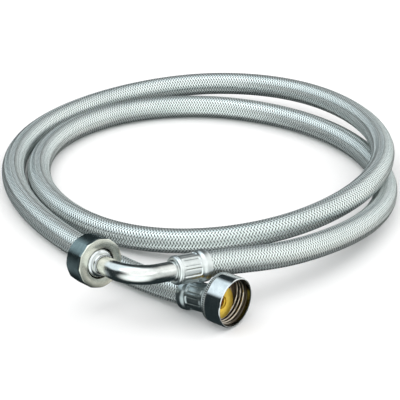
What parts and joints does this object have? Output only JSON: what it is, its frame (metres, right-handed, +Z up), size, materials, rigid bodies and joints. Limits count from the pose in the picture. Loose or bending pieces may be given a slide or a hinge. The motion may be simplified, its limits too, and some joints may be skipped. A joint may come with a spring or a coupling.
{
  "type": "braided supply line",
  "caption": "Coiled stainless-braided water supply hose with a bent chromed elbow and female swivel nut at one end and a straight stem and female swivel nut at the other.",
  "frame": {"origin": "middle of the whole object's bounding box, on the surface the coil lies on", "axes": "+Z up; both hose ends leave the coil towards -Y, with the bent end's nut on the -X side and the straight end's nut on the +X side"},
  "size_m": [0.2528, 0.3484, 0.0454],
  "materials": {
    "stainless_braid": "bright woven stainless wire",
    "yarn": "matte polymer yarn",
    "liner": "matte",
    "chrome": "polished",
    "satin_plate": "satin nickel plate",
    "ferrule_steel": "bright pressed stainless steel",
    "brass": "machined",
    "washer_rubber": "matte"
  },
  "bodies": {
    "hose_coil": {"coil_braid": "stainless_braid", "coil_yarn": "yarn", "coil_liner": "liner"},
    "elbow_tail": {"elbow_tail_braid": "stainless_braid", "elbow_tail_yarn": "yarn", "elbow_tail_liner": "liner"},
    "elbow_fitting": {"elbow_tip_braid": "stainless_braid", "elbow_tip_yarn": "yarn", "elbow_tip_liner": "liner", "elbow_ferrule": "ferrule_steel", "elbow_bent_tube": "chrome", "elbow_flange_collar": "satin_plate"},
    "elbow_washer": {"elbow_hose_washer": "washer_rubber"},
    "elbow_nut": {"elbow_swivel_nut": "chrome"},
    "straight_fitting": {"straight_tail_braid": "stainless_braid", "straight_tail_yarn": "yarn", "straight_tail_liner": "liner", "straight_ferrule": "ferrule_steel", "straight_barb_stem": "brass"},
    "straight_nut": {"straight_swivel_nut": "chrome"}
  },
  "joints": [
    {"name": "elbow_end_lift", "type": "hinge", "parent": "hose_coil", "child": "elbow_tail", "pos_m": [0.05694, -0.11163, 0.02894], "axis": [-0.6535, 0.7569, 0], "range_deg": [0, 15]},
    {"name": "elbow_end_twist", "type": "hinge", "parent": "elbow_tail", "child": "elbow_fitting", "pos_m": [0.0045, -0.14523, 0.02966], "axis": [0.8404, 0.5334, -0.0958], "range_deg": [0, 20]},
    {"name": "elbow_nut_slide", "type": "slide", "parent": "elbow_fitting", "child": "elbow_washer", "axis": [-0.6027, 0.7911, -0.1045], "range_m": [0, 0.004]},
    {"name": "elbow_nut_spin", "type": "hinge", "parent": "elbow_washer", "child": "elbow_nut", "pos_m": [-0.05355, -0.14628, 0.031], "axis": [-0.6027, 0.7911, -0.1045], "continuous": true},
    {"name": "straight_end_swing", "type": "hinge", "parent": "hose_coil", "child": "straight_fitting", "pos_m": [-0.04529, -0.11562, 0.00763], "axis": [0, 0, -1], "range_deg": [0, 12]},
    {"name": "straight_nut_spin", "type": "hinge", "parent": "straight_fitting", "child": "straight_nut", "pos_m": [0.01115, -0.15488, 0.0151], "axis": [0.7716, -0.6361, 0], "continuous": true}
  ]
}
